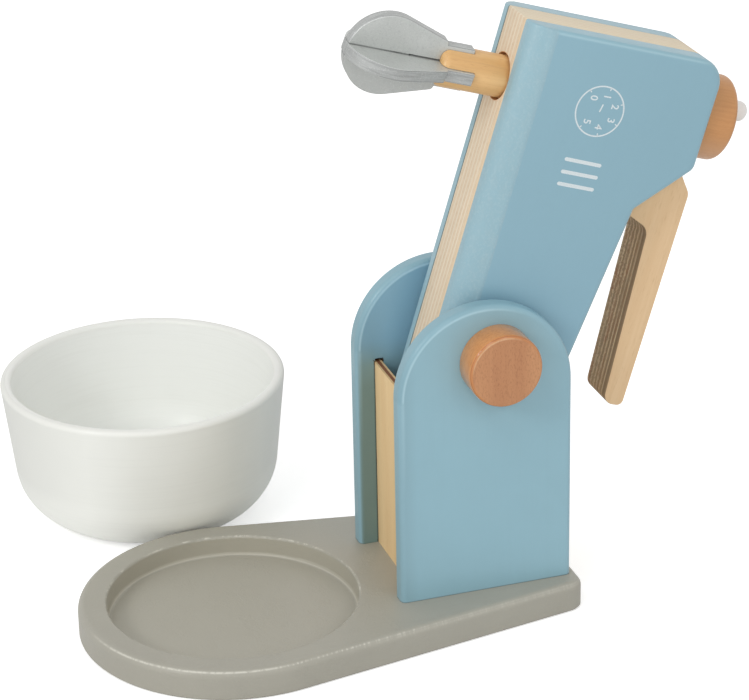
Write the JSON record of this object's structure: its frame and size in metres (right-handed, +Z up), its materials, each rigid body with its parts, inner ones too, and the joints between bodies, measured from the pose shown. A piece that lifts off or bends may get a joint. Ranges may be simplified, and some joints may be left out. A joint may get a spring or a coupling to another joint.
{
  "type": "toy stand mixer",
  "caption": "Wooden toy stand mixer: its head tilts back on a pin between arched boards, its whisk turns from a rear knob, and a loose round bowl stands beside the base.",
  "frame": {"origin": "on the table under the centre of the bowl recess in the base", "axes": "+X from the bowl end of the base to the column, +Y to the left board, +Z up"},
  "size_m": [0.2801, 0.2296, 0.2395],
  "materials": {
    "base_paint": "satin grey-green paint over wood",
    "blue_paint": "satin dusty-blue paint over wood",
    "panel_ply": "bare three-ply plywood",
    "core_ply": "bare multi-ply plywood, plies showing on the edges",
    "dowel_wood": "bare light hardwood dowel",
    "beech": "bare reddish beech, fine grain",
    "washer_fibre": "plain dark fibre",
    "silver_paint": "silver-grey metallic paint over thin wood",
    "white_paint": "satin white paint over turned wood",
    "screw_steel": "zinc-plated"
  },
  "bodies": {
    "base": {"base_plate": "base_paint", "column_board_right": "blue_paint", "column_board_left": "blue_paint", "front_panel": "panel_ply", "rear_panel": "panel_ply", "pivot_rod": "dowel_wood", "pivot_cap_right": "beech", "pivot_cap_left": "beech", "pivot_washer_right": "washer_fibre", "pivot_washer_left": "washer_fibre", "board_screws": "screw_steel"},
    "head": {"head_core": "core_ply", "head_cover_right": "blue_paint", "head_cover_left": "blue_paint"},
    "whisk": {"whisk_shaft": "dowel_wood", "whisk_blade_upright": "silver_paint", "whisk_blade_cross": "silver_paint", "turning_knob": "beech", "crank_peg": "white_paint"},
    "bowl": {"bowl": "white_paint"}
  },
  "joints": [
    {"name": "head_tilt", "type": "hinge", "parent": "base", "child": "head", "pos_m": [0.0975, 0, 0.1085], "axis": [0, -1, 0], "range_deg": [0, 107.3]},
    {"name": "whisk_spin", "type": "hinge", "parent": "head", "child": "whisk", "pos_m": [0.12718, 0, 0.20378], "axis": [-0.9548, 0, 0.2974], "continuous": true},
    {"name": "bowl_lift", "type": "slide", "parent": "base", "child": "bowl", "axis": [0, 0, 1], "range_m": [0, 0.15]}
  ]
}
